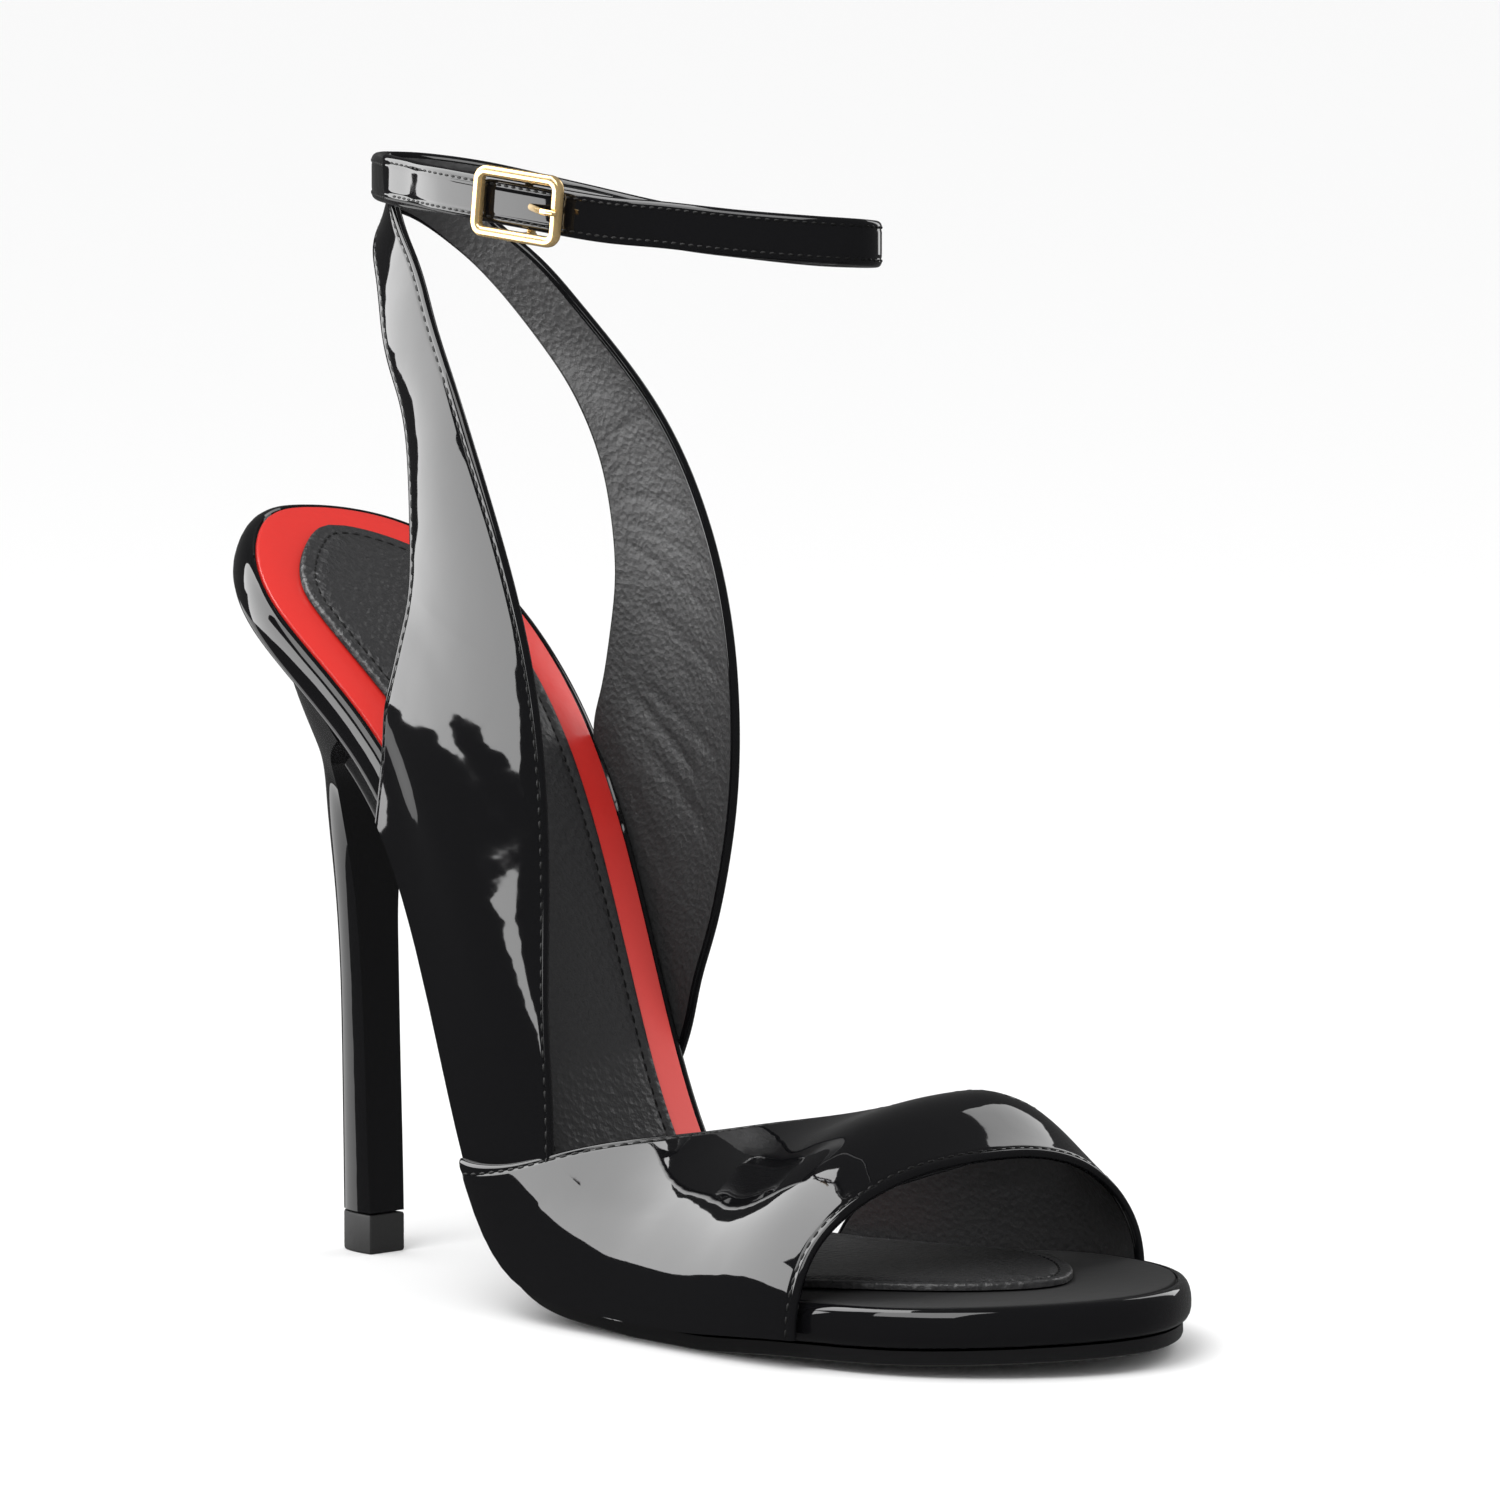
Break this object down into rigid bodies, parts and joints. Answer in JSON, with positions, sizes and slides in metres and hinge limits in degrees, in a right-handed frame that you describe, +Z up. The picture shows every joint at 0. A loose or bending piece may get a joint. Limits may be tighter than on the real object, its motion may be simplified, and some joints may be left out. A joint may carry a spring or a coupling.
{
  "type": "high heel sandal",
  "caption": "Right high-heeled sandal: open-toe vamp band, two tall side wings that meet behind the ankle, buckled ankle strap, slim heel and thin outsole.",
  "frame": {"origin": "on the floor, at the middle of the bounding box's underside", "axes": "+X from the heel to the toe, +Y towards the inner side of the foot, +Z up"},
  "size_m": [0.1942, 0.0756, 0.179],
  "materials": {
    "patent_leather": "patent, mirror gloss",
    "red_leather": "smooth, satin",
    "lining_leather": "fine grain, soft sheen",
    "outsole_leather": "smooth, satin",
    "lift_rubber": "matte",
    "gold_metal": "polished"
  },
  "bodies": {
    "root": {"outsole": "outsole_leather", "footbed_board": "patent_leather", "insole_cover": "red_leather", "insole_pad": "lining_leather", "heel": "patent_leather", "top_lift": "lift_rubber", "upper": "patent_leather", "ankle_strap": "patent_leather", "buckle_frame": "gold_metal", "buckle_prong": "gold_metal"}
  },
  "joints": []
}
